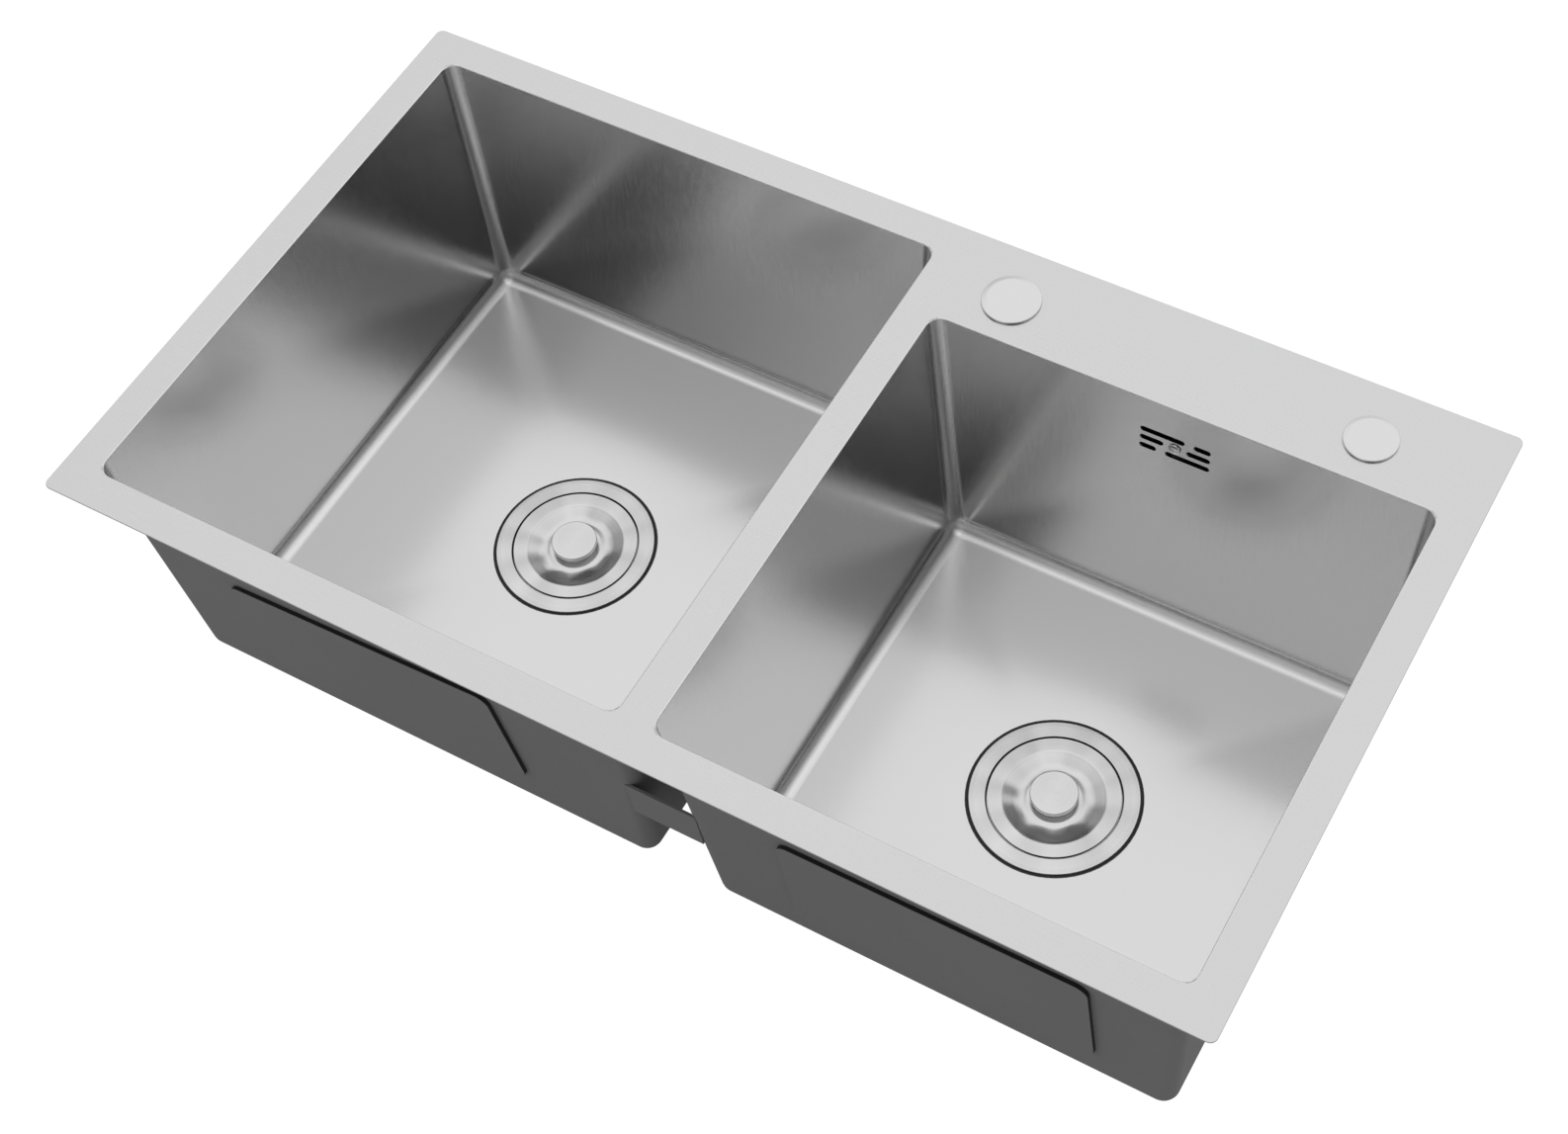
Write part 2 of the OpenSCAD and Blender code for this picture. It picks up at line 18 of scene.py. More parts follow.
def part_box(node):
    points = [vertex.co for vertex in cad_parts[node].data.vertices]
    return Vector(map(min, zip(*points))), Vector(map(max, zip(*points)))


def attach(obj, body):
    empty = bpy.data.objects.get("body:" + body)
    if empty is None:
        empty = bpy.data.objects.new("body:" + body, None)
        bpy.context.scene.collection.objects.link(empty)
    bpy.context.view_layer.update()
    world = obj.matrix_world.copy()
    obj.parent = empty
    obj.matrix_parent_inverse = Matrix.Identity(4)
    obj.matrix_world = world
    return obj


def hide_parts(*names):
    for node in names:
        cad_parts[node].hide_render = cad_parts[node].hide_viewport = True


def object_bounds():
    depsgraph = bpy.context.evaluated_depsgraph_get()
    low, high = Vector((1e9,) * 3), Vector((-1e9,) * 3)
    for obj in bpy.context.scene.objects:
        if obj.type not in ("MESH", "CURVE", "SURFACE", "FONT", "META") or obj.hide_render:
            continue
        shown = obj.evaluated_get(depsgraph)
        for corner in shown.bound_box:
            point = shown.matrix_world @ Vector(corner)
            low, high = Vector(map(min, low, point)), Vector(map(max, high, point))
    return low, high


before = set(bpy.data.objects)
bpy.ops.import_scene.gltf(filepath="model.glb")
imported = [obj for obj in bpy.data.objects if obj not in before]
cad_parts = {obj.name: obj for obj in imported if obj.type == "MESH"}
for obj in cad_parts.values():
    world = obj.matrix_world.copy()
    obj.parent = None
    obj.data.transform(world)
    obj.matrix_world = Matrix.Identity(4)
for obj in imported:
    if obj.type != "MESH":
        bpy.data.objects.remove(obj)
cad_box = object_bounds()
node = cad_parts
print("nodes:", len(node), "size in m:", [round(v, 4) for v in cad_box[1] - cad_box[0]])

# %% [markdown]
# ## Camera
#
# The view was found by fitting a pinhole camera to the straight edges of the rim and the
# mouths. That gives a place, three directions and a lens. The picture is a crop, so the point
# that the camera looks at isn't in its middle, and a small shift of the lens puts it back.

# %% Camera
CAMERA_AT = Vector((0.6099, -0.7813, 1.3535))
LOOKS_RIGHT = Vector((0.86842, 0.49092, -0.06955))
LOOKS_DOWN = Vector((0.36466, -0.72742, -0.58128))
PHOTO_W, PHOTO_H = 1586, 1147
FOCAL_PX = 2698.6
AXIS_PX = (863.3, 475.6)
SENSOR_MM = 36
NEAREST, FARTHEST = 0.05, 20


def add_camera():
    back = LOOKS_DOWN.cross(LOOKS_RIGHT)
    turn_of_camera = Matrix((LOOKS_RIGHT, -LOOKS_DOWN, back)).transposed()
    bpy.ops.object.camera_add(location=CAMERA_AT, rotation=turn_of_camera.to_euler())
    camera = bpy.context.object
    camera.name = "camera"
    camera.data.sensor_width = SENSOR_MM
    camera.data.lens = SENSOR_MM * FOCAL_PX / PHOTO_W
    camera.data.shift_x = -(AXIS_PX[0] - PHOTO_W / 2) / PHOTO_W
    camera.data.shift_y = (AXIS_PX[1] - PHOTO_H / 2) / PHOTO_W
    camera.data.clip_start, camera.data.clip_end = NEAREST, FARTHEST
    bpy.context.scene.camera = camera
    return camera


print("lens in mm:", round(add_camera().data.lens, 2))

# %% [markdown]
# ## Nodes
#
# Light and finishes are both built from shader nodes. A few helpers keep that readable: one
# joins two sockets, one adds a sum, one tells rays from the camera and rays from a mirror
# apart, one mixes two shaders, and one starts a material.

# %% Helpers for nodes
def link(tree, start, end):
    tree.links.new(start, end)


def add_math(tree, operation, first, second):
    """One Math node; each input is a socket or a number."""
    made = tree.nodes.new("ShaderNodeMath")
    made.operation = operation
    for place, value in zip(made.inputs, (first, second)):
        if isinstance(value, (int, float)):
            place.default_value = value
        else:
            link(tree, value, place)
    return made.outputs[0]


def kinds_of_ray(tree):
    """Two sockets: 1 for rays from the camera, and 1 for rays from a mirror or clear surface."""
    path = tree.nodes.new("ShaderNodeLightPath")
    mirrored = add_math(
        tree, "MAXIMUM", path.outputs["Is Glossy Ray"], path.outputs["Is Transmission Ray"])
    return path.outputs["Is Camera Ray"], mirrored


def mix_shaders(tree, share, first, second):
    """The first shader where the share is 0, and the second where it is 1."""
    mix = tree.nodes.new("ShaderNodeMixShader")
    link(tree, share, mix.inputs["Fac"])
    link(tree, first.outputs[0], mix.inputs[1])
    link(tree, second.outputs[0], mix.inputs[2])
    return mix


def new_finish(name, colour, metallic, roughness):
    """A Principled material; returns the material, its tree and its shader."""
    finish = bpy.data.materials.new(name)
    finish.use_nodes = True
    shader = finish.node_tree.nodes["Principled BSDF"]
    shader.inputs["Base Color"].default_value = (*colour, 1)
    shader.inputs["Metallic"].default_value = metallic
    shader.inputs["Roughness"].default_value = roughness
    return finish, finish.node_tree, shader


print("materials so far:", len(bpy.data.materials))

# %% [markdown]
# ## Floor
#
# The picture wants a white floor, but steel that mirrors a white floor turns white itself. So
# the floor is a paper that glows, white to the camera and grey to the metal, and Light Path
# tells the two kinds of ray apart. Part of it stays plain paper, which keeps the sink's shadow.

# %% Floor
bpy.context.scene.view_settings.view_transform = "Standard"
FLOOR_SIZE = 60
FLOOR_Z = cad_box[0].z
FLOOR_IN_METAL = 0.35
FLOOR_SHOWN = 1.12
PAPER = (0.85, 0.85, 0.85)
GLOW_SHARE = 0.9


def add_floor():
    bpy.ops.mesh.primitive_plane_add(size=FLOOR_SIZE, location=(0, 0, FLOOR_Z))
    floor = bpy.context.object
    floor.name = "floor"
    finish, tree, paper = new_finish("floor_paper", PAPER, 0, 1)
    paper.inputs["Specular IOR Level"].default_value = 0
    glow = tree.nodes.new("ShaderNodeEmission")
    camera_ray, metal_ray = kinds_of_ray(tree)
    bright = tree.nodes.new("ShaderNodeMapRange")
    bright.inputs["To Min"].default_value = FLOOR_IN_METAL
    bright.inputs["To Max"].default_value = FLOOR_SHOWN
    link(tree, camera_ray, bright.inputs["Value"])
    link(tree, bright.outputs[0], glow.inputs["Strength"])
    seen = add_math(tree, "MAXIMUM", camera_ray, metal_ray)
    mix = mix_shaders(tree, add_math(tree, "MULTIPLY", seen, GLOW_SHARE), paper, glow)
    link(tree, mix.outputs[0], tree.nodes["Material Output"].inputs["Surface"])
    floor.data.materials.append(finish)


add_floor()
print("floor at z:", round(FLOOR_Z, 4))

# %% [markdown]
# ## The room in the steel
#
# Polished steel shows its room more than itself, so the room matters as much as the metal. It
# has two soft boxes: a broad one above and behind the sink, and a smaller one in front, which
# lights the middle of the back walls by way of the floors of the bowls. Between them the room
# is dark, and that gives the bowls their dark corners and streaks. Pale low walls run all
# round. This view hardly mirrors them, but without them the rim would be black from behind.
# Each is a patch in the sky, bright within one angle from a direction and dark past another.

# %% Patches of light
# Direction, inner and outer edge as cosines from it, and strength. The low walls are a patch
# round straight down, which ends a little above the horizon.
PATCHES = {
    "top box": (Vector((0.0, 0.42, 0.90)), 0.80, 0.42, 1.0),
    "front box": (Vector((-0.15, -0.61, 0.78)), 0.985, 0.935, 0.75),
    "low walls": (Vector((0.0, 0.0, -1.0)), -0.26, -0.46, 0.85),
}


def add_fade(tree, value, nothing_at, all_at):
    """A soft step: 0 where the value is nothing_at, 1 where it is all_at."""
    fade = tree.nodes.new("ShaderNodeMapRange")
    fade.interpolation_type = "SMOOTHSTEP"
    fade.inputs["From Min"].default_value = nothing_at
    fade.inputs["From Max"].default_value = all_at
    link(tree, value, fade.inputs["Value"])
    return fade.outputs[0]


def patch_of_light(tree, direction, patch):
    """Strength of one patch as a ray's direction sees it."""
    towards, inner, outer, strength = patch
    facing = tree.nodes.new("ShaderNodeVectorMath")
    facing.operation = "DOT_PRODUCT"
    facing.inputs[1].default_value = towards.normalized()
    link(tree, direction, facing.inputs[0])
    fade = add_fade(tree, facing.outputs["Value"], outer, inner)
    return add_math(tree, "MULTIPLY", fade, strength)


for name, (towards, inner, outer, strength) in PATCHES.items():
    print(name, "of strength", strength, "fades at degrees:", round(degrees(acos(outer))))

# %% [markdown]
# ## Sky
#
# The sky has to be three things at once: the room for rays that come from the metal, an even
# grey for matt surfaces, and plain white for the camera. Two Mix Shader nodes choose between
# them by the kind of ray.

# %% Sky
SKY_FOR_DIFFUSE = 0.38
SKY_SHOWN = 1.0
DARK_ROOM = 0.03


def add_background(tree, strength):
    """A white background; its strength is a socket or a number."""
    background = tree.nodes.new("ShaderNodeBackground")
    background.inputs["Color"].default_value = (1, 1, 1, 1)
    if isinstance(strength, float):
        background.inputs["Strength"].default_value = strength
    else:
        link(tree, strength, background.inputs["Strength"])
    return background


def add_sky():
    world = bpy.data.worlds.new("studio")
    bpy.context.scene.world = world
    world.use_nodes = True
    tree = world.node_tree
    tree.nodes.remove(tree.nodes["Background"])
    direction = tree.nodes.new("ShaderNodeTexCoord").outputs["Generated"]
    room = DARK_ROOM
    for patch in PATCHES.values():
        room = add_math(tree, "MAXIMUM", patch_of_light(tree, direction, patch), room)
    even, in_metal, shown = [add_background(tree, s) for s in (SKY_FOR_DIFFUSE, room, SKY_SHOWN)]
    camera_ray, metal_ray = kinds_of_ray(tree)
    unseen = mix_shaders(tree, metal_ray, even, in_metal)
    sky = mix_shaders(tree, camera_ray, unseen, shown)
    link(tree, sky.outputs[0], tree.nodes["World Output"].inputs["Surface"])
    return world


print("nodes in the sky:", len(add_sky().node_tree.nodes))

# %% [markdown]
# ## Lamps
#
# Two soft lamps give the matt coating its light side and its shade. They are hidden from
# mirrors, because the steel has the soft boxes of the sky for that, and a lamp would add a
# bright disc.

# %% Lamps
LAMP_AIM = Vector((0, 0, -0.1))


def add_lamp(name, place, size, power):
    aim = LAMP_AIM - Vector(place)
    bpy.ops.object.light_add(
        type="AREA", location=place, rotation=aim.to_track_quat("-Z", "Y").to_euler())
    lamp = bpy.context.object
    lamp.name = name
    lamp.data.shape = "DISK"
    lamp.data.size = size
    lamp.data.energy = power
    lamp.visible_glossy = False
    lamp.visible_camera = False
    print(name, "with", power, "W")


add_lamp("soft_lamp", (1.2, 0.9, 2.2), 1.2, 16)
add_lamp("left_fill", (-1.6, -1.5, 0.9), 1.0, 5)

# %% [markdown]
# ## Scratches and grain
#
# No real surface is even, and a finish without its scratches looks like plastic. A picture of
# scratches would repeat and need unwrapping, so all grain here is noise on Object coordinates,
# which are metres on the piece itself. Stretched along one axis it becomes brushed scratches.

# %% Noise
SCRATCH_FINE = 900
# Most of a noise lies between these two values
NOISE_LOW, NOISE_HIGH = 0.3, 0.7


def add_noise(tree, vector, scale, detail):
    noise = tree.nodes.new("ShaderNodeTexNoise")
    noise.inputs["Scale"].default_value = scale
    noise.inputs["Detail"].default_value = detail
    link(tree, vector, noise.inputs["Vector"])
    return noise.outputs["Fac"]


def grain(tree, stretch):
    """Noise on Object coordinates, with so many waves to a metre along the three axes."""
    place = tree.nodes.new("ShaderNodeTexCoord")
    mapping = tree.nodes.new("ShaderNodeMapping")
    mapping.inputs["Scale"].default_value = stretch
    link(tree, place.outputs["Object"], mapping.inputs["Vector"])
    return add_noise(tree, mapping.outputs["Vector"], 1, 3)


def spread(tree, value, low, high):
    """Turns a noise into numbers from low to high."""
    ranged = tree.nodes.new("ShaderNodeMapRange")
    ranged.inputs["From Min"].default_value = NOISE_LOW
    ranged.inputs["From Max"].default_value = NOISE_HIGH
    ranged.inputs["To Min"].default_value = low
    ranged.inputs["To Max"].default_value = high
    link(tree, value, ranged.inputs["Value"])
    return ranged.outputs[0]


print("scratch waves to a millimetre:", SCRATCH_FINE / 1000)

# %% [markdown]
# ## Satin steel
#
# All of the visible metal is one stainless steel, but each piece is finished in its own way.
# The rim and the bowls are satin: tiny scratches along one direction blur a reflection without
# hiding it. The noise moves the roughness, the colour and a very small bump together, since a
# real scratch does all three.

# %% Satin steel
SCRATCH_H = 0.00002


def rough_by(tree, shader, value, low, high):
    link(tree, spread(tree, value, low, high), shader.inputs["Roughness"])


def tint_by(tree, shader, value, colour, dark, light):
    """Lets the pattern move the colour between a darker and a lighter shade of it."""
    mix = tree.nodes.new("ShaderNodeMix")
    mix.data_type = "RGBA"
    mix.inputs["A"].default_value = (*(c * dark for c in colour), 1)
    mix.inputs["B"].default_value = (*(c * light for c in colour), 1)
    link(tree, value, mix.inputs["Factor"])
    link(tree, mix.outputs["Result"], shader.inputs["Base Color"])


def bump_by(tree, shader, value, strength, height):
    """Adds a bump on top of any bump that the shader already has."""
    bump = tree.nodes.new("ShaderNodeBump")
    bump.inputs["Strength"].default_value = strength
    bump.inputs["Distance"].default_value = height
    link(tree, value, bump.inputs["Height"])
    for earlier in shader.inputs["Normal"].links:
        link(tree, earlier.from_socket, bump.inputs["Normal"])
    link(tree, bump.outputs["Normal"], shader.inputs["Normal"])


def satin_steel(name, stretch, low, high, colour, depth=0.12):
    """Steel with roughness from low to high, and scratches that show as much as depth says."""
    finish, tree, shader = new_finish(name, colour, 1, high)
    scratches = grain(tree, stretch)
    rough_by(tree, shader, scratches, low, high)
    tint_by(tree, shader, scratches, colour, 1 - depth / 4, 1 + depth / 4)
    bump_by(tree, shader, scratches, depth, SCRATCH_H)
    return finish


rim_finish = satin_steel(
    "satin_rim", (30, SCRATCH_FINE, SCRATCH_FINE), 0.26, 0.30, (0.665, 0.665, 0.665), 0.02)
print("made", rim_finish.name)

# %% [markdown]
# ## Bends in the bowls
#
# A bend in a polished bowl shows as a soft light stripe, since the bend mirrors a wide part of
# the room and its surface is a little rougher from the press. A second material on the bends
# would leave a hard line, so one material finds them by itself. The largest part of a surface's
# normal is 1 on a flat side and least in the middle of a bend. There the roughness fades to
# values of its own, and the level bends at the foot are the softest. The colour fades to a
# lighter grey there as well, a painted highlight that adds to the stripe.

# %% Steel for the bowls
FLAT_SIDE, FULL_BEND = 0.995, 0.85
UPRIGHT_BEND, LEVEL_BEND = 0.1, 0.3
BEND_ROUGHNESS = {"upright": 0.3, "level": 0.42}
# Painted highlight: the colour that the middle of a bend fades to, lighter than the plain steel
BEND_PAINTED_HIGHLIGHT = 0.88


def blend(tree, share, plain, bent):
    """Plain where the share is 0 and bent where it is 1."""
    kept = add_math(tree, "MULTIPLY", plain, add_math(tree, "SUBTRACT", 1, share))
    return add_math(tree, "ADD", kept, add_math(tree, "MULTIPLY", share, bent))


def soften_and_highlight_bends(finish):
    """Gives a finish with patterns of its own a second roughness in the bends, and a painted
    highlight in its colour there.
    """
    tree = finish.node_tree
    shader = tree.nodes["Principled BSDF"]
    split = tree.nodes.new("ShaderNodeSeparateXYZ")
    link(tree, tree.nodes.new("ShaderNodeNewGeometry").outputs["Normal"], split.inputs[0])
    x, y, z = [add_math(tree, "ABSOLUTE", part, 0) for part in split.outputs]
    largest = add_math(tree, "MAXIMUM", add_math(tree, "MAXIMUM", x, y), z)
    bend = add_fade(tree, largest, FLAT_SIDE, FULL_BEND)
    level = add_fade(tree, z, UPRIGHT_BEND, LEVEL_BEND)
    roughness = blend(tree, level, BEND_ROUGHNESS["upright"], BEND_ROUGHNESS["level"])
    for name, bent in (("Roughness", roughness), ("Base Color", BEND_PAINTED_HIGHLIGHT)):
        plain = shader.inputs[name].links[0].from_socket
        link(tree, blend(tree, bend, plain, bent), shader.inputs[name])


bowl_finish = satin_steel(
    "satin_bowl", (SCRATCH_FINE, SCRATCH_FINE, 60), 0.17, 0.22, (0.70, 0.70, 0.70), 0.06)
soften_and_highlight_bends(bowl_finish)
print("made", bowl_finish.name, "with", len(bowl_finish.node_tree.nodes), "nodes")

# %% [markdown]
# ## Places round an axis
#
# The strainer's parts are turned on a lathe, where all that counts is how far a place lies
# from the axis and in which direction. A Mapping node moves the drain's axis to the middle, and
# a vector without its height then gives both.

# %% Places round an axis
def middle(name):
    low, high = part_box(name)
    return (low + high) / 2


def around_axis(tree, centre):
    """Sockets for a place by an upright axis: the level way to it, its distance, its height."""
    place = tree.nodes.new("ShaderNodeTexCoord")
    mapping = tree.nodes.new("ShaderNodeMapping")
    mapping.inputs["Location"].default_value = (-centre[0], -centre[1], 0)
    link(tree, place.outputs["Object"], mapping.inputs["Vector"])
    split = tree.nodes.new("ShaderNodeSeparateXYZ")
    link(tree, mapping.outputs["Vector"], split.inputs[0])
    across = tree.nodes.new("ShaderNodeCombineXYZ")
    link(tree, split.outputs["X"], across.inputs["X"])
    link(tree, split.outputs["Y"], across.inputs["Y"])
    radius = tree.nodes.new("ShaderNodeVectorMath")
    radius.operation = "LENGTH"
    link(tree, across.outputs[0], radius.inputs[0])
    return across.outputs[0], radius.outputs["Value"], split.outputs["Z"]


print("axes at x:", [round(middle(side + "_lid").x, 4) for side in ("left", "right")])

# %% [markdown]
# ## Turned steel
#
# Scratches from a lathe run in circles, and a highlight spreads out from the middle like a fan.
# The scratches are a noise of the distance from the axis, and the fan comes from the shader's
# anisotropy with a tangent that runs round the axis. A few broad sectors give slight waves in
# height, and they darken the colour a little, a painted shade that stands in for the dark parts
# of the fan. They are a coarse noise of the direction alone, and they fade out towards the hub,
# where they would meet in a point and show as a star.

# %% Turned steel
BRIGHT_STEEL = (0.75, 0.75, 0.75)
FAN = 0.65
SECTOR_SCALE = 2
SECTORS_START, SECTORS_FULL = 0.019, 0.028
# Painted shade: how far the sectors darken the colour, for the dark parts of the fan
SECTOR_PAINTED_SHADE, SECTOR_H = 0.86, 0.003


def add_sectors(tree, across, radius):
    """A coarse noise of the heading, which fades in away from the hub."""
    heading = tree.nodes.new("ShaderNodeVectorMath")
    heading.operation = "NORMALIZE"
    link(tree, across, heading.inputs[0])
    sectors = add_noise(tree, heading.outputs["Vector"], SECTOR_SCALE, 0)
    return add_math(tree, "MULTIPLY", sectors, add_fade(tree, radius, SECTORS_START, SECTORS_FULL))


def turned_steel(name, centre, low, high):
    """Steel finished on a lathe round an upright axis, with rings of scratches and a fan."""
    finish, tree, shader = new_finish(name, BRIGHT_STEEL, 1, high)
    across, radius, height = around_axis(tree, centre)
    rings = tree.nodes.new("ShaderNodeCombineXYZ")
    link(tree, radius, rings.inputs["X"])
    link(tree, height, rings.inputs["Y"])
    scratches = add_noise(tree, rings.outputs[0], 2 * SCRATCH_FINE, 2)
    rough_by(tree, shader, scratches, low, high)
    sectors = add_sectors(tree, across, radius)
    # Painted shade: the sectors darken the colour, standing in for the dark parts of the fan
    tint_by(tree, shader, spread(tree, sectors, 1, 0), BRIGHT_STEEL, SECTOR_PAINTED_SHADE, 1)
    bump_by(tree, shader, sectors, 1, SECTOR_H)
    bump_by(tree, shader, scratches, 0.15, SCRATCH_H)
    shader.inputs["Anisotropic"].default_value = FAN
    tangent = tree.nodes.new("ShaderNodeTangent")
    tangent.direction_type = "RADIAL"
    tangent.axis = "Z"
    link(tree, tangent.outputs[0], shader.inputs["Tangent"])
    return finish


strainer_finish = {
    side: turned_steel(side + "_turned_steel", middle(side + "_lid"), 0.26, 0.34)
    for side in ("left", "right")}
print("made", [finish.name for finish in strainer_finish.values()])

# %% [markdown]
# ## Coating, rubber and plastic
#
# The outside of the bowls is sprayed with a matt grey coating, which has a fine grain and soft
# clouds of shade. Rubber and plastic parts have the skin of their mould. All of these are the
# same noise as the scratches, only not stretched.

# %% Matt finishes
COATING = (0.205, 0.205, 0.205)
SPRAY_FINE, CLOUDS_COARSE = 1400, 9


def sprayed_coat(name, colour):
    """The grain of sprayed paint over soft clouds of shade."""
    finish, tree, shader = new_finish(name, colour, 0, 0.6)
    specks = grain(tree, (SPRAY_FINE,) * 3)
    clouds = grain(tree, (CLOUDS_COARSE,) * 3)
    tint_by(tree, shader, clouds, colour, 0.93, 1.07)
    rough_by(tree, shader, specks, 0.5, 0.7)
    bump_by(tree, shader, specks, 0.25, 0.00008)
    shader.inputs["Specular IOR Level"].default_value = 0.35
    return finish


def moulded(name, colour, low, high, fine):
    """Rubber or plastic with a fine moulded skin."""
    finish, tree, shader = new_finish(name, colour, 0, high)
    skin = grain(tree, (fine,) * 3)
    rough_by(tree, shader, skin, low, high)
    tint_by(tree, shader, skin, colour, 0.9, 1.1)
    bump_by(tree, shader, skin, 0.2, 0.00005)
    return finish


coat_finish = sprayed_coat("grey_coating", COATING)
pad_edge_finish = moulded("black_pad_side", (0.012, 0.012, 0.012), 0.6, 0.8, 700)
rubber_finish = moulded("black_seal", (0.018, 0.018, 0.018), 0.5, 0.65, 900)
black_finish = moulded("black_moulding", (0.02, 0.02, 0.02), 0.4, 0.55, 600)
grey_finish = moulded("grey_moulding", (0.45, 0.45, 0.44), 0.4, 0.5, 600)
print("finishes:", len(bpy.data.materials))

# %% [markdown]
# ## Starting a piece
#
# Each piece starts as a primitive at its own size and place. An operator works on all that is
# selected, so everything is deselected before a new primitive comes, and the object's place and
# size go into its mesh at once.

# %% Helpers for starting
def start_fresh():
    """Leaves edit mode and deselects everything, which each new primitive needs."""
    if bpy.context.mode != "OBJECT":
        bpy.ops.object.mode_set(mode="OBJECT")
    bpy.ops.object.select_all(action="DESELECT")


def take(piece):
    """Makes one piece the only selected and the active one."""
    start_fresh()
    piece.select_set(True)
    bpy.context.view_layer.objects.active = piece


def bake_place(piece):
    """Puts the object's own place, turn and size into its mesh."""
    bpy.ops.object.transform_apply(location=True, rotation=True, scale=True)
    return piece


def add_box(name, low, high):
    """A cube primitive stretched between two corners."""
    start_fresh()
    low, high = Vector(low), Vector(high)
    bpy.ops.mesh.primitive_cube_add(size=1, location=(low + high) / 2)
    piece = bpy.context.object
    piece.name = name
    piece.scale = high - low
    return bake_place(piece)


# %% [markdown]
# ## Picking parts of a mesh
#
# In edit mode an operator again works on what is selected. There is no mouse here, so a step
# picks its points, edges or faces by a test of where they are. The tests allow for a small
# rounding error in those places.

# %% Helper for picking
NEAR = 0.00004


def pick(piece, kind, wanted):
    """Selects the points, edges or faces whose places please a test, then enters edit mode."""
    bpy.ops.object.mode_set(mode="OBJECT")
    mesh = piece.data
    for group in (mesh.vertices, mesh.edges, mesh.polygons):
        group.foreach_set("select", [False] * len(group))
    mode = {"points": "VERT", "edges": "EDGE", "faces": "FACE"}[kind]
    bpy.context.tool_settings.mesh_select_mode = [mode == m for m in ("VERT", "EDGE", "FACE")]
    places = [v.co.copy() for v in mesh.vertices]
    if kind == "points":
        for v in mesh.vertices:
            v.select = bool(wanted(v.co))
    elif kind == "edges":
        for e in mesh.edges:
            e.select = bool(wanted(places[e.vertices[0]], places[e.vertices[1]]))
    else:
        for f in mesh.polygons:
            f.select = bool(wanted(f.center, f.normal))
    bpy.ops.object.mode_set(mode="EDIT")


print("places are the same within m:", NEAR)

# %% [markdown]
# ## Finishing a piece
#
# A finished piece is shaded, gets its material, and is put on the body that carries it, in
# place of the solid that it stands for. Round stretches are shaded smooth up to an angle, and
# weighted normals keep the flat faces beside a small bevel flat.

# %% Helpers for finishing
SMOOTH_ANGLE = 40


def apply_modifiers(piece):
    take(piece)
    for modifier in list(piece.modifiers):
        bpy.ops.object.modifier_apply(modifier=modifier.name)


def cut(piece, cutter):
    """Takes the cutter's form out of the piece."""
    modifier = piece.modifiers.new("cut", "BOOLEAN")
    modifier.operation = "DIFFERENCE"
    modifier.solver = "EXACT"
    modifier.object = cutter
    apply_modifiers(piece)
    bpy.data.objects.remove(cutter)


def smooth(piece, angle=SMOOTH_ANGLE):
    """Shades round stretches smooth and leaves flat faces flat."""
    apply_modifiers(piece)
    bpy.ops.object.shade_smooth_by_angle(angle=radians(angle), keep_sharp_edges=True)
    weigh = piece.modifiers.new("weigh", "WEIGHTED_NORMAL")
    weigh.keep_sharp = True
    weigh.weight = 100
    apply_modifiers(piece)


def settle(piece, body, finish, stands_for):
    """Gives a finished piece its material, puts it on its body and hides the node that it stands
    for.
    """
    if finish:
        piece.data.materials.append(finish)
    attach(piece, body)
    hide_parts(stands_for)
    print(piece.name, len(piece.data.polygons), "faces")


print("smooth up to degrees:", SMOOTH_ANGLE)

# %% [markdown]
# ## The rim
#
# The rim is one flat sheet with round corners and two large openings. It starts as a box. Its
# upright corner edges are bevelled to the corner radius, and its outer edges get a very small
# bevel, because that thin line of light is what makes a cut sheet look like metal. The
# openings and the two tap holes are cut last, so that they stay sharp where the bowls are
# welded in.

# %% Rim
rim_low, rim_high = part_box("deck_plate")
RIM_T = rim_high.z
RIM_CORNER, CORNER_STEPS = 0.005, 12
RIM_EDGE, EDGE_STEPS = 0.0003, 3
FLAT_PIECE_ANGLE = 30
SHEET = 0.001
BOWL_CORNER = 0.010
HOLE_CLEAR, HOLE_SIDES = 0.0003, 64


def round_upright_edges(piece, radius, segments):
    pick(piece, "edges", lambda a, b: abs(a.x - b.x) < NEAR and abs(a.y - b.y) < NEAR)
    bpy.ops.mesh.bevel(offset=radius, segments=segments, affect="EDGES")


def mouth_cutter(side):
    """The form of a bowl's mouth, taken through the sheet."""
    low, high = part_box(side + "_bowl")
    cutter = add_box("cutter", (low.x, low.y, -RIM_T), (high.x, high.y, 3 * RIM_T))
    round_upright_edges(cutter, BOWL_CORNER + SHEET, CORNER_STEPS)
    bpy.ops.object.mode_set(mode="OBJECT")
    return cutter


def hole_cutter(plug):
    low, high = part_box(plug)
    start_fresh()
    bpy.ops.mesh.primitive_cylinder_add(
        vertices=HOLE_SIDES, radius=(high.x - low.x) / 2 + HOLE_CLEAR, depth=10 * RIM_T,
        location=(middle(plug).x, middle(plug).y, 0))
    return bpy.context.object


def make_rim():
    rim = add_box("rim", rim_low, rim_high)
    round_upright_edges(rim, RIM_CORNER, CORNER_STEPS)
    pick(rim, "edges", lambda a, b: abs(a.z - b.z) < NEAR)
    bpy.ops.mesh.bevel(offset=RIM_EDGE, segments=EDGE_STEPS, affect="EDGES")
    for side in ("left", "right"):
        cut(rim, mouth_cutter(side))
    for plug in ("tap_hole_plug", "dispenser_hole_plug"):
        cut(rim, hole_cutter(plug))
    smooth(rim, FLAT_PIECE_ANGLE)
    settle(rim, "sink", rim_finish, "deck_plate")


make_rim()

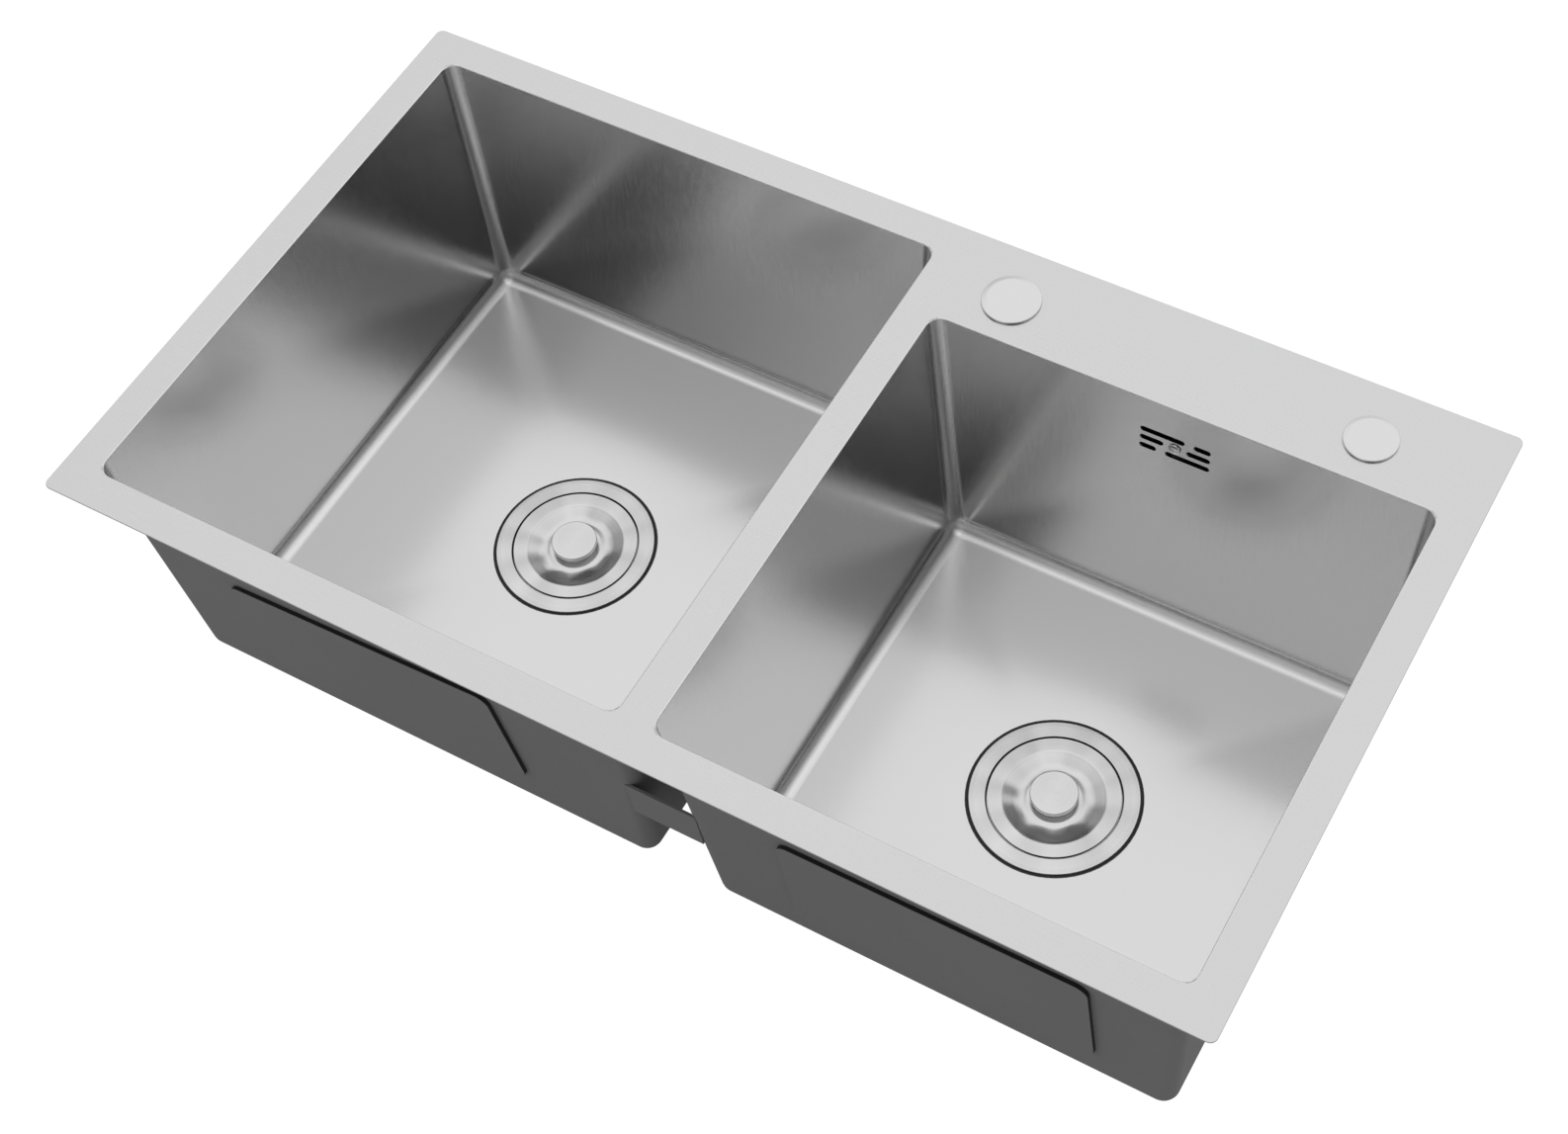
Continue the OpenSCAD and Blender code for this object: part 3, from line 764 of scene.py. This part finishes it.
# %% [markdown]
# ## Folding a bowl
#
# Each bowl is folded from one sheet: four leaning walls, with one radius for all the bends. It
# starts as a grid at the foot of the walls. The grid's border is pulled up and widened into the
# walls, and the bends are bevels. A box without its lid would do as well, but the grid already
# has the points along its border that the floor needs in the next step.

# %% Walls of the bowls
COLUMNS = 16
BEND_STEPS = 8
FLOOR_FALL = 0.004
SEAT_DROP = 0.0025
LEAN = radians(3.5)
TAPER = tan(LEAN)


def bowl_places(side):
    """A bowl's centre, half its mouth, half its foot, the foot's height and the low floor's."""
    low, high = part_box(side + "_bowl")
    low_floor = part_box(side + "_flange_gasket")[0].z + SEAT_DROP
    floor = low_floor + FLOOR_FALL
    mouth = ((high.x - low.x) / 2 - SHEET, (high.y - low.y) / 2 - SHEET)
    foot = tuple(half - TAPER * (RIM_T - floor) for half in mouth)
    return (low + high) / 2, mouth, foot, floor, low_floor


def fold_bowl(side):
    centre, mouth, foot, floor, _ = bowl_places(side)
    start_fresh()
    bpy.ops.mesh.primitive_grid_add(x_subdivisions=COLUMNS, y_subdivisions=COLUMNS, size=2,
                                    location=(centre.x, centre.y, floor))
    bowl = bpy.context.object
    bowl.name = side + "_basin"
    bowl.scale = (*foot, 1)
    bake_place(bowl)

    def on_side(p):
        """Whether a point lies on an east or west side of the foot, and on a north or south."""
        east = abs(abs(p.x - centre.x) - foot[0]) < NEAR
        north = abs(abs(p.y - centre.y) - foot[1]) < NEAR
        return east, north

    def along_border(a, b):
        both = [m and n for m, n in zip(on_side(a), on_side(b))]
        same_x, same_y = abs(a.x - b.x) < NEAR, abs(a.y - b.y) < NEAR
        return abs(a.z - b.z) < NEAR and ((both[0] and same_x) or (both[1] and same_y))

    def is_bend(a, b):
        lower = a if a.z < b.z else b
        upright = abs(a.z - b.z) > 2 * NEAR
        at_foot = abs(lower.z - floor) < NEAR and along_border(a, b)
        return (upright and all(on_side(lower))) or at_foot

    pick(bowl, "edges", along_border)
    bpy.ops.mesh.extrude_edges_move(TRANSFORM_OT_translate={"value": (0, 0, RIM_T - floor)})
    bpy.ops.transform.resize(value=(mouth[0] / foot[0], mouth[1] / foot[1], 1),
                             center_override=(centre.x, centre.y, RIM_T))
    pick(bowl, "edges", is_bend)
    bpy.ops.mesh.bevel(offset=BOWL_CORNER, segments=BEND_STEPS, affect="EDGES")
    start_fresh()
    print(bowl.name, "foot in mm:", [round(2000 * half) for half in foot])
    return bowl


basins = {side: fold_bowl(side) for side in ("left", "right")}

# %% [markdown]
# ## Open edges and rings
#
# Two kinds of edges are picked again and again. An open edge has a face on one side only, which
# shows where a mesh can be bridged or extended. A ring is all the edges at one distance from an
# upright axis and at one height.

# %% Helpers for edges
def open_edges(piece):
    """The edges with fewer than two faces, each as a pair of places."""
    mesh = piece.data
    faces_at = Counter(key for face in mesh.polygons for key in face.edge_keys)
    return {frozenset(tuple(mesh.vertices[i].co) for i in edge.key)
            for edge in mesh.edges if faces_at[edge.key] < 2}


def pick_ring(piece, centre, radius, height):
    """Selects the edges that lie on one ring round an upright axis."""
    def on_ring(p):
        from_axis = hypot(p.x - centre.x, p.y - centre.y)
        return abs(p.z - height) < NEAR and abs(from_axis - radius) < NEAR

    pick(piece, "edges", lambda a, b: on_ring(a) and on_ring(b))


print("open edges:", {side: len(open_edges(basin)) for side, basin in basins.items()})

# %% [markdown]
# ## The floor and the drain's seat
#
# The floor falls to the drain from four sides, and a round seat is pressed into it for the
# strainer. The flat of the floor is taken out and its border bridged to a circle with as many
# points as the border has. So all its faces are four-sided, and the creases towards the corners
# fall in place by themselves. The circle is then extruded in and down along the seat's lines.

# %% Floors of the bowls
DRAIN_R = 0.0485
BRIDGE_CUTS = 3
LEVEL = 0.9999
# Radius and depth of the lines round the drain's seat
SEAT_LINES = [(0.0600, 0.0), (0.0594, 0.0003), (0.0587, SEAT_DROP - 0.0003), (0.0581, SEAT_DROP),
              (DRAIN_R, SEAT_DROP)]


def join_circle(bowl, centre, radius, height):
    """Adds a circle to the bowl's mesh, with a point for each point of the floor's border."""
    start_fresh()
    bpy.ops.mesh.primitive_circle_add(
        vertices=4 * COLUMNS, radius=radius, location=(centre.x, centre.y, height))
    bake_place(bpy.context.object)
    bowl.select_set(True)
    bpy.context.view_layer.objects.active = bowl
    bpy.ops.object.join()


def clean():
    """Merges doubles of the mesh in edit mode and makes its faces agree on their outside."""
    bpy.ops.mesh.select_all(action="SELECT")
    bpy.ops.mesh.remove_doubles(threshold=NEAR / 4)
    bpy.ops.mesh.normals_make_consistent(inside=False)


def press_floor(bowl, side):
    floor, low_floor = bowl_places(side)[3:]
    drain = middle(side + "_strainer_body")
    take(bowl)
    pick(bowl, "faces", lambda c, n: abs(c.z - floor) < NEAR and abs(n.z) > LEVEL)
    bpy.ops.mesh.delete(type="FACE")
    join_circle(bowl, drain, SEAT_LINES[0][0], low_floor)
    border = open_edges(bowl)
    pick(bowl, "edges", lambda a, b: (
        max(a.z, b.z) < floor + NEAR and frozenset((tuple(a), tuple(b))) in border))
    bpy.ops.mesh.bridge_edge_loops(number_cuts=BRIDGE_CUTS, interpolation="LINEAR")
    for (r0, d0), (r1, d1) in zip(SEAT_LINES, SEAT_LINES[1:]):
        pick_ring(bowl, drain, r0, low_floor - d0)
        bpy.ops.mesh.extrude_edges_move(TRANSFORM_OT_translate={"value": (0, 0, d0 - d1)})
        bpy.ops.transform.resize(value=(r1 / r0, r1 / r0, 1),
                                 center_override=(drain.x, drain.y, low_floor - d1))
    clean()
    start_fresh()
    print(bowl.name, "drain at:", [round(v, 4) for v in drain.xy])


for side, basin in basins.items():
    press_floor(basin, side)

# %% [markdown]
# ## Sheet and lip
#
# Up to here a bowl is a skin with no thickness. A Solidify modifier makes it a sheet, and gives
# the outside the grey coating in the same step. At the top the sheet is welded into the rim and
# ground flush with it, so its points are pressed flat to the rim's height, and the inner edge
# gets the small round of a broken edge.

# %% Sheets of the bowls
LIP_EDGE = 0.0008


def thicken(piece, thickness, outer_slot=0):
    """Gives an open sheet its thickness on its lower side, with a material slot for that side."""
    if sum(f.normal.z * f.area for f in piece.data.polygons) < 0:
        piece.data.flip_normals()
    sheet = piece.modifiers.new("sheet", "SOLIDIFY")
    sheet.thickness = thickness
    sheet.offset = -1
    sheet.use_even_offset = True
    sheet.material_offset = outer_slot
    apply_modifiers(piece)


def finish_lip(bowl, side):
    centre, mouth = bowl_places(side)[:2]

    def on_inner_edge(p):
        inside = abs(p.x - centre.x) < mouth[0] + NEAR and abs(p.y - centre.y) < mouth[1] + NEAR
        return p.z > RIM_T - NEAR and inside

    pick(bowl, "points", lambda p: p.z > RIM_T - SHEET / 2)
    bpy.ops.transform.resize(value=(1, 1, 0), center_override=(centre.x, centre.y, RIM_T))
    pick(bowl, "edges", lambda a, b: on_inner_edge(a) and on_inner_edge(b))
    bpy.ops.mesh.bevel(offset=LIP_EDGE, segments=EDGE_STEPS, affect="EDGES")
    start_fresh()


for side, basin in basins.items():
    basin.data.materials.append(bowl_finish)
    basin.data.materials.append(coat_finish)
    thicken(basin, SHEET, 1)
    finish_lip(basin, side)
    print(basin.name, len(basin.data.polygons), "faces")

# %% [markdown]
# ## The overflow
#
# High in the right bowl's back wall, six slots let water into the overflow. They are two sets
# of three, long, middle and short, and one set is the other turned half round. Each slot is
# punched with a box whose corners are bevelled into round ends. The cutter is made lying flat
# at the origin, where its size is easy to give, and then turned onto the leaning wall. The
# place comes from the screw between the slots, whose head lies on the wall.

# %% Overflow
SLOT_H = 0.0045
SLOT_STEP = 0.008
OVERFLOW_HALF = 0.0247
SLOT_LENGTHS = [0.0312, 0.0166, 0.0119]
SLOT_ROUND, SLOT_ROUND_STEPS = 0.49 * SLOT_H, 6
PUNCH_HALF = 5 * SHEET
BOWL_SMOOTH_ANGLE = 35
SCREW_R = 0.0042
screw_low, screw_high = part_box("overflow_screw")
head_at = Vector((middle("overflow_screw").x, screw_low.y, screw_high.z - SCREW_R))
DOWN_WALL = Vector((0, -sin(LEAN), -cos(LEAN)))
INTO_WALL = Matrix.Rotation(-(pi / 2 + LEAN), 4, "X")


def place_on_wall(piece, x, down):
    """Turns a piece that was made lying flat onto the back wall, beside the overflow's screw."""
    take(piece)
    place = head_at + Vector((x, 0, 0)) + DOWN_WALL * down
    piece.matrix_world = Matrix.Translation(place) @ INTO_WALL
    bake_place(piece)


def punch_slots(bowl):
    for half in (-1, 1):
        for row, length in enumerate(SLOT_LENGTHS):
            corner = Vector((length / 2, SLOT_H / 2, PUNCH_HALF))
            cutter = add_box("slot", -corner, corner)
            round_upright_edges(cutter, SLOT_ROUND, SLOT_ROUND_STEPS)
            across, down = OVERFLOW_HALF - length / 2, (1 - row) * SLOT_STEP
            place_on_wall(cutter, half * across, half * down)
            cut(bowl, cutter)


punch_slots(basins["right"])
for side, basin in basins.items():
    smooth(basin, BOWL_SMOOTH_ANGLE)
    settle(basin, "sink", None, side + "_bowl")

# %% [markdown]
# ## Turned pieces
#
# The strainers, their knobs and the hole covers are round, so one helper makes them all. It
# starts from a circle and extrudes its edge again and again, up or down and in or out, along a
# profile of radius and height, much as a spinner presses a sheet over a form. Chosen rings are
# then bevelled, with a small radius for a crisp edge and a large one for a soft fold.

# %% Turning helper
AROUND = 96


def draw_profile(centre, base, profile):
    """Extrudes the selected circle along (radius, height) pairs."""
    for (radius, height), (next_radius, next_height) in zip(profile, profile[1:]):
        rise = (0, 0, next_height - height)
        bpy.ops.mesh.extrude_edges_move(TRANSFORM_OT_translate={"value": rise})
        if next_radius == 0:
            bpy.ops.mesh.merge(type="CENTER")
        else:
            grow = next_radius / radius
            bpy.ops.transform.resize(
                value=(grow, grow, 1), center_override=(centre.x, centre.y, base + next_height))


def turn(name, centre, base, profile, folds=(), close_start=False):
    """Draws a profile round an upright axis; folds are (ring, size, steps)."""
    start_fresh()
    radius, height = profile[0]
    bpy.ops.mesh.primitive_circle_add(
        vertices=AROUND, radius=radius, location=(centre.x, centre.y, base + height))
    piece = bake_place(bpy.context.object)
    piece.name = name
    bpy.ops.object.mode_set(mode="EDIT")
    bpy.ops.mesh.select_all(action="SELECT")
    if close_start:
        bpy.ops.mesh.edge_face_add()
    draw_profile(centre, base, profile)
    clean()
    for ring, size, steps in folds:
        pick_ring(piece, centre, profile[ring][0], base + profile[ring][1])
        bpy.ops.mesh.bevel(offset=size, segments=steps, affect="EDGES")
    bpy.ops.object.mode_set(mode="OBJECT")
    return piece


print("sides of a round piece:", AROUND)

# %% [markdown]
# ## The strainers
#
# A basket strainer has a flange that lies in the drain's seat, a cup below it, and a threaded
# tail for the waste pipe. It is one profile, which goes down inside and comes back up outside,
# with a ridge for each turn of the thread. The walls of the recess behind the lid's edge get a
# dark steel, a painted shade, so the gap between the lid and the flange reads as a thin black
# circle.

# %% Strainer bodies
FLANGE_R, FLANGE_T, RECESS_R, RECESS_D = 0.0572, 0.0015, 0.0461, 0.0035
CUP_R, CUP_T, CUP_H, CUP_FALL = 0.0416, 0.0012, 0.048, 0.006
TAIL_R, TAIL_T, TAIL_H = 0.0239, 0.004, 0.025
THREAD_STEP, THREAD_D, THREADS = 0.0022, 0.0007, 10
FLANGE_FOLDS = [(1, 0.0005, 3), (2, 0.0002, 2), (4, 0.0004, 2)]
# Painted shade: the dark colour of the recess walls, which stands in for the shadow in the gap
RECESS_PAINTED_SHADE = (0.12, 0.12, 0.12)


def flange_profile():
    cup_low = -RECESS_D - CUP_H
    tail_low = cup_low - TAIL_H
    bore = TAIL_R - TAIL_T
    inside = [(FLANGE_R, -FLANGE_T), (FLANGE_R, 0), (RECESS_R, 0), (RECESS_R, -RECESS_D),
              (CUP_R, -RECESS_D), (CUP_R, cup_low + CUP_FALL), (bore, cup_low), (bore, tail_low)]
    thread = []
    for ridge in range(THREADS):
        foot = tail_low + ridge * THREAD_STEP
        thread += [(TAIL_R - THREAD_D, foot), (TAIL_R, foot + THREAD_STEP / 2)]
    outside = [(TAIL_R - THREAD_D, cup_low - CUP_T), (CUP_R + CUP_T, cup_low + CUP_FALL - CUP_T),
               (CUP_R + CUP_T, -RECESS_D - CUP_T), (RECESS_R + CUP_T, -RECESS_D - CUP_T),
               (RECESS_R + CUP_T, -FLANGE_T), (FLANGE_R, -FLANGE_T)]
    return inside + thread + outside


def paint_recess_shade(flange, centre, base):
    """Gives the faces behind the lid's edge the second material, a painted shade for the dark gap.
    """
    for face in flange.data.polygons:
        from_axis = hypot(face.center.x - centre.x, face.center.y - centre.y)
        hidden = face.center.z < base - 0.0003 and CUP_R + CUP_T < from_axis < RECESS_R + 0.0001
        face.material_index = 1 if hidden else 0


def make_flange(side):
    centre = middle(side + "_strainer_body")
    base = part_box(side + "_strainer_body")[1].z
    flange = turn(side + "_flange", centre, base, flange_profile(), FLANGE_FOLDS)
    smooth(flange)
    flange.data.materials.append(strainer_finish[side])
    flange.data.materials.append(recess_shade_finish)
    paint_recess_shade(flange, centre, base)
    settle(flange, "sink", None, side + "_strainer_body")


recess_shade_finish = satin_steel("painted_shade_steel", (SCRATCH_FINE,) * 3, 0.5, 0.6, RECESS_PAINTED_SHADE)
for side in ("left", "right"):
    make_flange(side)

# %% [markdown]
# ## Lids and knobs
#
# The lid is a pressed disc: a flat ring, a shallow dish with a round channel, and a hub that
# carries the knob. The dish does most of the work in the picture, since one side of it mirrors
# the light and the other side mirrors the dark walls. So its folds are drawn with care: nearly
# sharp at the skirt, soft beside the ring, and widest at the bottom of the channel.

# %% Lids and knobs
LID_R, LID_T, DISH_R, DISH_D, CHANNEL_R = 0.0447, 0.0009, 0.0353, 0.004, 0.0245
HUB_R, HUB_DROP, SKIRT = 0.0186, 0.0022, 0.0027
LID_FOLDS = [(1, 0.0002, 3), (2, 0.0008, 4), (3, 0.0036, 12), (4, 0.0008, 4)]
KNOB_R, KNOB_T, KNOB_RISE, NECK_R, KNOB_TAPER = 0.0164, 0.004, 0.006, 0.012, 0.0004
KNOB_FOLDS = [(1, 0.0008, 3), (2, 0.0006, 3), (3, 0.0007, 4)]


def make_lid(side):
    centre = middle(side + "_lid")
    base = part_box(side + "_lid")[1].z
    profile = [(LID_R, -SKIRT), (LID_R, 0), (DISH_R, 0), (CHANNEL_R, -DISH_D),
               (HUB_R, -HUB_DROP), (0, -HUB_DROP)]
    lid = turn(side + "_pressed_lid", centre, base, profile, LID_FOLDS)
    thicken(lid, LID_T)
    smooth(lid)
    settle(lid, side + "_strainer_lid", strainer_finish[side], side + "_lid")


def make_knob(side):
    centre = middle(side + "_knob")
    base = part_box(side + "_knob")[1].z - KNOB_RISE
    profile = [(NECK_R, -HUB_DROP), (NECK_R, 0), (KNOB_R - KNOB_TAPER, KNOB_RISE - KNOB_T),
               (KNOB_R, KNOB_RISE), (0, KNOB_RISE)]
    knob = turn(side + "_turned_knob", centre, base, profile, KNOB_FOLDS, close_start=True)
    smooth(knob)
    settle(knob, side + "_strainer_lid", strainer_finish[side], side + "_knob")


for side in ("left", "right"):
    make_lid(side)
    make_knob(side)

# %% [markdown]
# ## The hole covers
#
# The holes for a tap and a dispenser are closed by low steel discs. A disc stands on a small
# step, has a short upright wall, and slopes gently up to a flat middle. The wall mirrors the
# dark of the room and draws a thin dark line round the front. The slope was kept gentle,
# because a steeper one mirrors that dark too, as a broad crescent.

# %% Hole covers
COVER_H = 0.003
COVER_STEP = 0.0003
COVER_WALL = 0.0016
COVER_FLAT = 0.79
COVER_FOLDS = [(3, 0.0004, 4), (4, 0.0012, 5)]
STEEL = (0.72, 0.72, 0.72)


def make_cover(node_name, body):
    low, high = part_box(node_name)
    centre, radius = (low + high) / 2, (high.x - low.x) / 2
    step_r = radius - 2 * COVER_STEP
    profile = [(step_r, 0), (step_r, COVER_STEP), (radius, COVER_STEP), (radius, COVER_WALL),
               (COVER_FLAT * radius, COVER_H - COVER_STEP), (0, COVER_H)]
    cover = turn(node_name + "_disc", centre, low.z, profile, COVER_FOLDS, close_start=True)
    smooth(cover)
    settle(cover, body, cover_finish, node_name)


cover_finish = satin_steel("satin_cover", (SCRATCH_FINE,) * 3, 0.16, 0.22, STEEL)
make_cover("tap_hole_cover", "tap_cover")
make_cover("dispenser_hole_cover", "dispenser_cover")

# %% [markdown]
# ## The overflow's screw
#
# A small domed head with a cross cut into it, which pulls the black housing behind the wall
# tight. It is made flat at the origin, cut with two bars, and then turned onto the wall.

# %% Overflow screw
HEAD_T = 0.0016
SHANK_R = SCREW_R * 0.5
SCREW_FOLDS = [(3, 0.0004, 3), (4, 0.0008, 3)]
CROSS_REACH, CROSS_HALF, CROSS_DEPTH = SCREW_R * 0.56, SCREW_R * 0.13, HEAD_T * 0.6


def make_screw():
    profile = [(SHANK_R, 3 * HEAD_T), (SHANK_R, HEAD_T), (SCREW_R, HEAD_T),
               (SCREW_R, HEAD_T * 0.45), (SHANK_R, HEAD_T * 0.1), (0, 0)]
    origin = Vector((0, 0, 0))
    screw = turn("cross_head_screw", origin, 0, profile, SCREW_FOLDS, close_start=True)
    for x, y in ((CROSS_REACH, CROSS_HALF), (CROSS_HALF, CROSS_REACH)):
        cut(screw, add_box("arm", (-x, -y, -HEAD_T), (x, y, CROSS_DEPTH)))
    place_on_wall(screw, 0, 0)
    smooth(screw, FLAT_PIECE_ANGLE)
    settle(screw, "sink", screw_finish, "overflow_screw")


screw_finish = satin_steel("screw_steel", (SCRATCH_FINE,) * 3, 0.12, 0.2, BRIGHT_STEEL)
make_screw()

# %% [markdown]
# ## The pads on the front walls
#
# Each front wall carries a damping pad, whose face has the same grey coating as the wall. Its
# side faces get a black finish, so the pad reads as one dark line along its top and right side.
# It is a thin box with bevelled corners, a soft front edge and two finishes.

# %% Front pads
PAD_W, PAD_H, PAD_T = 0.210, 0.105, 0.003
PAD_CORNER, PAD_CORNER_STEPS = 0.009, 8
PAD_TILT = {"left": radians(4), "right": radians(1)}


def make_pad(side):
    corner = Vector((PAD_W, PAD_H, PAD_T)) / 2
    pad = add_box(side + "_damping_pad", -corner, corner)
    round_upright_edges(pad, PAD_CORNER, PAD_CORNER_STEPS)
    pick(pad, "edges", lambda a, b: a.z > PAD_T / 2 - NEAR and b.z > PAD_T / 2 - NEAR)
    bpy.ops.mesh.bevel(offset=PAD_T / 6, segments=EDGE_STEPS, affect="EDGES")
    bpy.ops.object.mode_set(mode="OBJECT")
    pad.data.materials.append(coat_finish)
    pad.data.materials.append(pad_edge_finish)
    for face in pad.data.polygons:
        face.material_index = 1 if abs(face.normal.z) < 0.3 else 0
    turn_up = Matrix.Rotation(pi / 2 + LEAN, 4, "X") @ Matrix.Rotation(PAD_TILT[side], 4, "Z")
    pad.matrix_world = Matrix.Translation(middle(side + "_front_pad")) @ turn_up
    take(pad)
    bake_place(pad)
    smooth(pad)
    settle(pad, "sink", None, side + "_front_pad")


for side in ("left", "right"):
    make_pad(side)

# %% [markdown]
# ## The pieces that keep their solids
#
# The fittings under the sink and the baskets inside the cups are right as they are in the
# model, so they keep their shapes and only get the finish of their real material.

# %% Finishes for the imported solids
RUBBER_PIECES = [side + piece for side in ("left", "right")
                 for piece in ("_flange_gasket", "_floor_washer", "_stopper")]
GREY_PIECES = ["left_slip_ring", "right_slip_ring", "left_lock_nut", "right_lock_nut"]


def dress(finish, *names):
    for name in names:
        for place in node[name].material_slots:
            place.material = finish
    print(finish.name, "on", len(names), "solids")


dress(coat_finish, "front_brace", "left_base_pad", "right_base_pad")
dress(rubber_finish, "overflow_seal", *RUBBER_PIECES)
dress(grey_finish, *GREY_PIECES)
dress(black_finish, "overflow_housing", "tap_hole_plug", "dispenser_hole_plug")
for side in ("left", "right"):
    dress(strainer_finish[side], side + "_basket", side + "_knob_screw")
